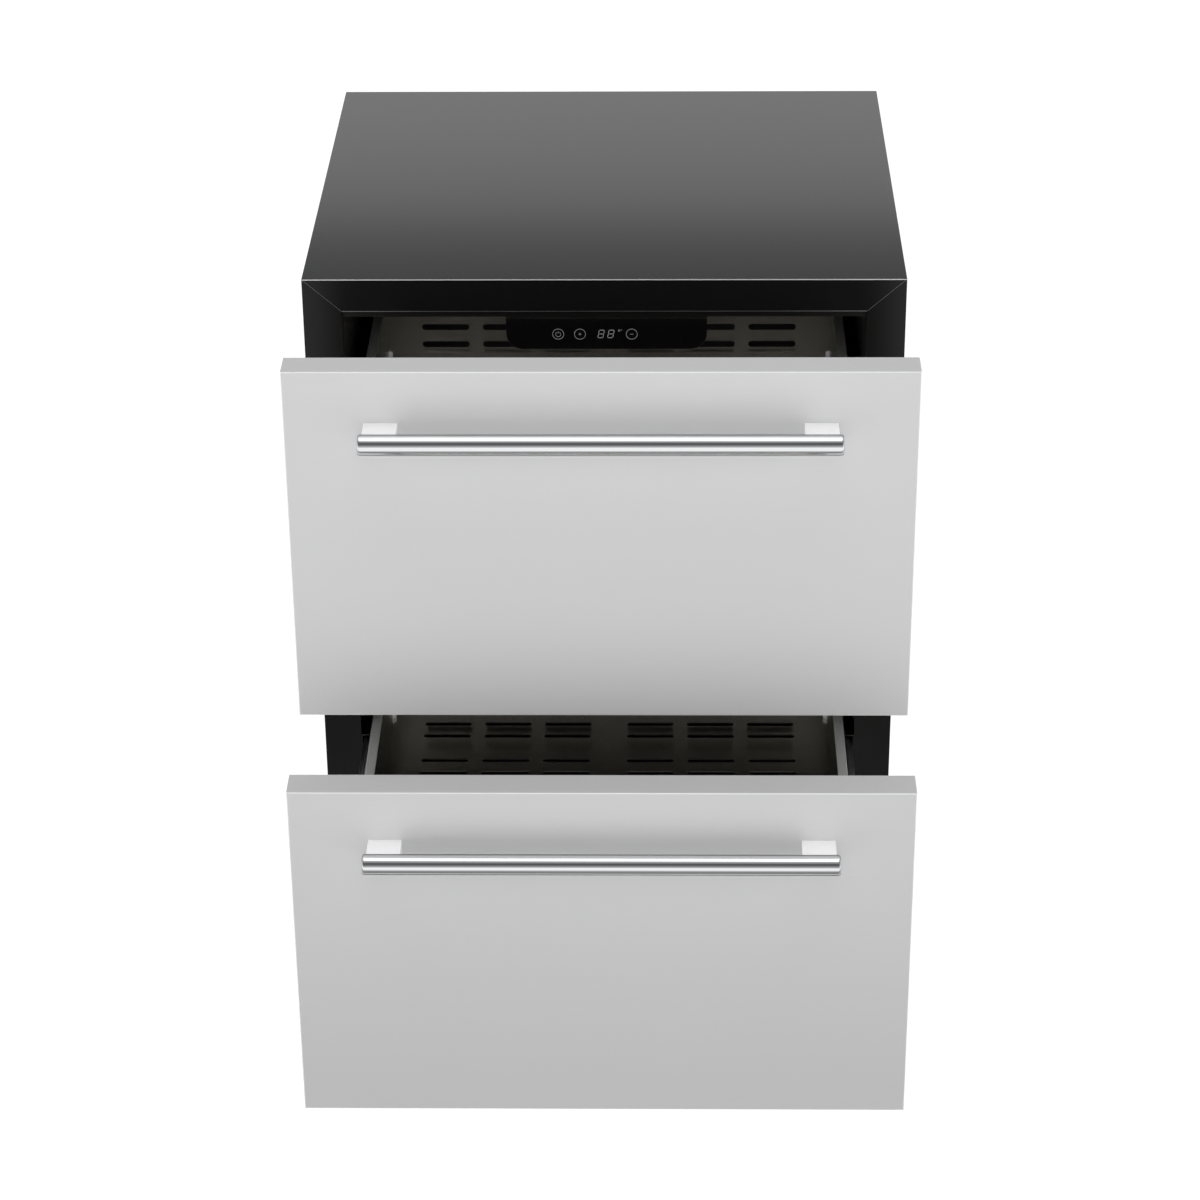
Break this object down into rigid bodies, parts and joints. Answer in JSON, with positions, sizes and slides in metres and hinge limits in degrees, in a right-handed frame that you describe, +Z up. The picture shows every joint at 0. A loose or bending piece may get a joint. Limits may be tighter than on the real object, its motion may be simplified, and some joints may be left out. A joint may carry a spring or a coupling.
{
  "type": "undercounter drawer refrigerator",
  "caption": "Free-standing black-cased undercounter refrigerator with stacked stainless drawers on ball-bearing slides, bar handles and a control strip inside.",
  "frame": {"origin": "on the floor, at the middle of the outline that the part has with both drawers standing open as stored", "axes": "+Z up, drawers open towards -Y, +X to the right as seen from the front"},
  "size_m": [0.595, 0.9327, 0.865],
  "materials": {
    "black_paint": "satin",
    "galvanised": "matte",
    "liner_black": "gloss",
    "foam": "matte",
    "black_plastic": "matte",
    "panel_gloss": "gloss",
    "circuit_board": "satin",
    "lens": "satin",
    "coil_aluminium": "satin",
    "white_plastic": "satin",
    "compressor_black": "satin",
    "rubber": "matte",
    "condenser_black": "matte",
    "copper": "satin",
    "foot_black": "satin",
    "slide_zinc": "satin",
    "cage_steel": "satin",
    "stainless": "satin",
    "stainless_inner": "satin",
    "gasket": "matte",
    "polished_steel": "polished"
  },
  "bodies": {
    "cabinet": {"outer_case": "black_paint", "rear_panel": "galvanised", "base_pan": "galvanised", "machine_deck": "black_paint", "insulation_foam": "foam", "inner_liner": "liner_black", "centre_rail": "black_paint", "duct_cover": "black_plastic", "control_housing": "black_plastic", "control_panel": "panel_gloss", "control_board": "circuit_board", "light_lens": "lens", "evaporator_coil": "coil_aluminium", "evaporator_fan_frame": "black_plastic", "drain_tube": "white_plastic", "evaporation_tray": "black_plastic", "compressor": "compressor_black", "compressor_grommets": "rubber", "condenser_coil": "condenser_black", "condenser_fan_frame": "black_plastic", "refrigerant_pipes": "copper", "power_box": "black_plastic", "rear_grille": "black_paint", "front_grille": "black_paint", "upper_outer_slide_left": "slide_zinc", "upper_outer_slide_right": "slide_zinc", "lower_outer_slide_left": "slide_zinc", "lower_outer_slide_right": "slide_zinc"},
    "upper_drawer": {"upper_front_skin": "stainless", "upper_front_core": "foam", "upper_inner_panel": "stainless_inner", "upper_gasket": "gasket", "upper_box": "stainless_inner", "upper_handle_bar": "polished_steel", "upper_handle_posts": "polished_steel", "upper_inner_slide_left": "slide_zinc", "upper_inner_slide_right": "slide_zinc"},
    "upper_middle_left": {"upper_middle_slide_left": "slide_zinc"},
    "upper_middle_right": {"upper_middle_slide_right": "slide_zinc"},
    "upper_outer_cage_pair": {"upper_outer_cages": "cage_steel"},
    "upper_inner_cage_pair": {"upper_inner_cages": "cage_steel"},
    "lower_drawer": {"lower_front_skin": "stainless", "lower_front_core": "foam", "lower_inner_panel": "stainless_inner", "lower_gasket": "gasket", "lower_box": "stainless_inner", "lower_handle_bar": "polished_steel", "lower_handle_posts": "polished_steel", "lower_inner_slide_left": "slide_zinc", "lower_inner_slide_right": "slide_zinc"},
    "lower_middle_left": {"lower_middle_slide_left": "slide_zinc"},
    "lower_middle_right": {"lower_middle_slide_right": "slide_zinc"},
    "lower_outer_cage_pair": {"lower_outer_cages": "cage_steel"},
    "lower_inner_cage_pair": {"lower_inner_cages": "cage_steel"},
    "levelling_foot_front_left": {"foot_front_left": "foot_black"},
    "levelling_foot_front_right": {"foot_front_right": "foot_black"},
    "levelling_foot_rear_left": {"foot_rear_left": "foot_black"},
    "levelling_foot_rear_right": {"foot_rear_right": "foot_black"},
    "evaporator_fan_rotor": {"evaporator_fan": "black_plastic"},
    "condenser_fan_rotor": {"condenser_fan": "black_plastic"}
  },
  "joints": [
    {"name": "upper_drawer_slide", "type": "slide", "parent": "cabinet", "child": "upper_drawer", "axis": [0, -1, 0], "range_m": [-0.1695, 0.2305]},
    {"name": "upper_middle_left_slide", "type": "slide", "parent": "cabinet", "child": "upper_middle_left", "axis": [0, -1, 0], "range_m": [-0.08475, 0.11525]},
    {"name": "upper_middle_right_slide", "type": "slide", "parent": "cabinet", "child": "upper_middle_right", "axis": [0, -1, 0], "range_m": [-0.08475, 0.11525]},
    {"name": "upper_outer_cages_roll", "type": "slide", "parent": "cabinet", "child": "upper_outer_cage_pair", "axis": [0, -1, 0], "range_m": [-0.04238, 0.05763]},
    {"name": "upper_inner_cages_roll", "type": "slide", "parent": "cabinet", "child": "upper_inner_cage_pair", "axis": [0, -1, 0], "range_m": [-0.12712, 0.17288]},
    {"name": "lower_drawer_slide", "type": "slide", "parent": "cabinet", "child": "lower_drawer", "axis": [0, -1, 0], "range_m": [-0.308, 0.092]},
    {"name": "lower_middle_left_slide", "type": "slide", "parent": "cabinet", "child": "lower_middle_left", "axis": [0, -1, 0], "range_m": [-0.154, 0.046]},
    {"name": "lower_middle_right_slide", "type": "slide", "parent": "cabinet", "child": "lower_middle_right", "axis": [0, -1, 0], "range_m": [-0.154, 0.046]},
    {"name": "lower_outer_cages_roll", "type": "slide", "parent": "cabinet", "child": "lower_outer_cage_pair", "axis": [0, -1, 0], "range_m": [-0.077, 0.023]},
    {"name": "lower_inner_cages_roll", "type": "slide", "parent": "cabinet", "child": "lower_inner_cage_pair", "axis": [0, -1, 0], "range_m": [-0.231, 0.069]},
    {"name": "foot_front_left_screw", "type": "hinge", "parent": "cabinet", "child": "levelling_foot_front_left", "pos_m": [-0.2555, -0.02863, 0.02], "axis": [0, 0, 1], "continuous": true},
    {"name": "foot_front_right_screw", "type": "hinge", "parent": "cabinet", "child": "levelling_foot_front_right", "pos_m": [0.2555, -0.02863, 0.02], "axis": [0, 0, 1], "continuous": true},
    {"name": "foot_rear_left_screw", "type": "hinge", "parent": "cabinet", "child": "levelling_foot_rear_left", "pos_m": [-0.2555, 0.42137, 0.02], "axis": [0, 0, 1], "continuous": true},
    {"name": "foot_rear_right_screw", "type": "hinge", "parent": "cabinet", "child": "levelling_foot_rear_right", "pos_m": [0.2555, 0.42137, 0.02], "axis": [0, 0, 1], "continuous": true},
    {"name": "evaporator_fan_spin", "type": "hinge", "parent": "cabinet", "child": "evaporator_fan_rotor", "pos_m": [0, 0.39437, 0.646], "axis": [0, 1, 0], "continuous": true},
    {"name": "condenser_fan_spin", "type": "hinge", "parent": "cabinet", "child": "condenser_fan_rotor", "pos_m": [-0.104, 0.03138, 0.1005], "axis": [0, 1, 0], "continuous": true}
  ],
  "couplings": [
    {"joint": "upper_middle_left_slide", "follows": "upper_drawer_slide", "ratio": 0.5},
    {"joint": "upper_middle_right_slide", "follows": "upper_drawer_slide", "ratio": 0.5},
    {"joint": "upper_outer_cages_roll", "follows": "upper_drawer_slide", "ratio": 0.25},
    {"joint": "upper_inner_cages_roll", "follows": "upper_drawer_slide", "ratio": 0.75},
    {"joint": "lower_middle_left_slide", "follows": "lower_drawer_slide", "ratio": 0.5},
    {"joint": "lower_middle_right_slide", "follows": "lower_drawer_slide", "ratio": 0.5},
    {"joint": "lower_outer_cages_roll", "follows": "lower_drawer_slide", "ratio": 0.25},
    {"joint": "lower_inner_cages_roll", "follows": "lower_drawer_slide", "ratio": 0.75}
  ]
}
